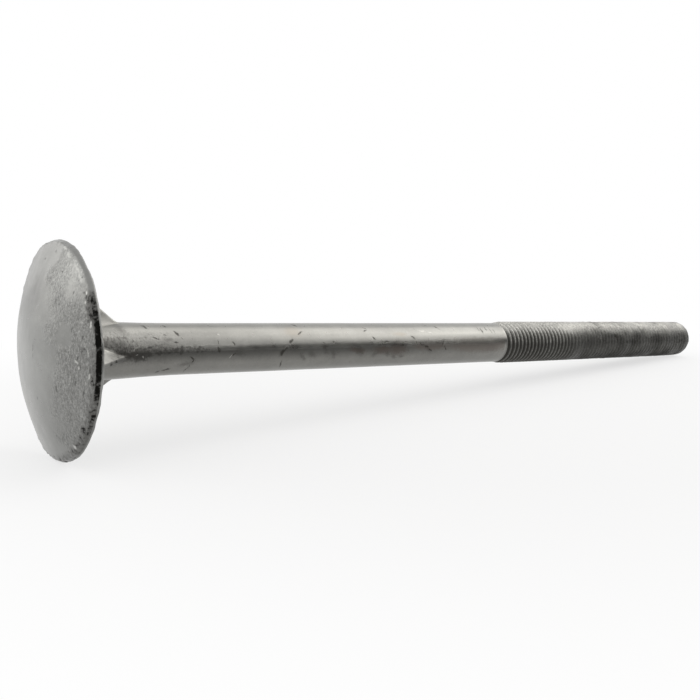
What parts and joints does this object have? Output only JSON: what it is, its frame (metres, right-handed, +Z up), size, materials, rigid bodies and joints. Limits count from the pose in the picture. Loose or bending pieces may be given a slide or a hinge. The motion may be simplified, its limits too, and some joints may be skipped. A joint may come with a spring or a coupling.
{
  "type": "dome head timber bolt",
  "caption": "Galvanised timber bolt with a shallow domed head, tapering fins under it, a plain shank and a long threaded end; it lies at rest.",
  "frame": {"origin": "on the ground under the centre of the bolt's box, as it lies on its head's rim and its threaded end", "axes": "+Z up; +X from the head towards the threaded end, the bolt's own axis dipping about 4 degrees below it"},
  "size_m": [0.365, 0.0698, 0.0697],
  "materials": {
    "zinc": "hot-dip galvanised: matt grey zinc, pebbly on the head, smooth with stains and pits on the shank"
  },
  "bodies": {
    "root": {"timber_bolt": "zinc"}
  },
  "joints": []
}
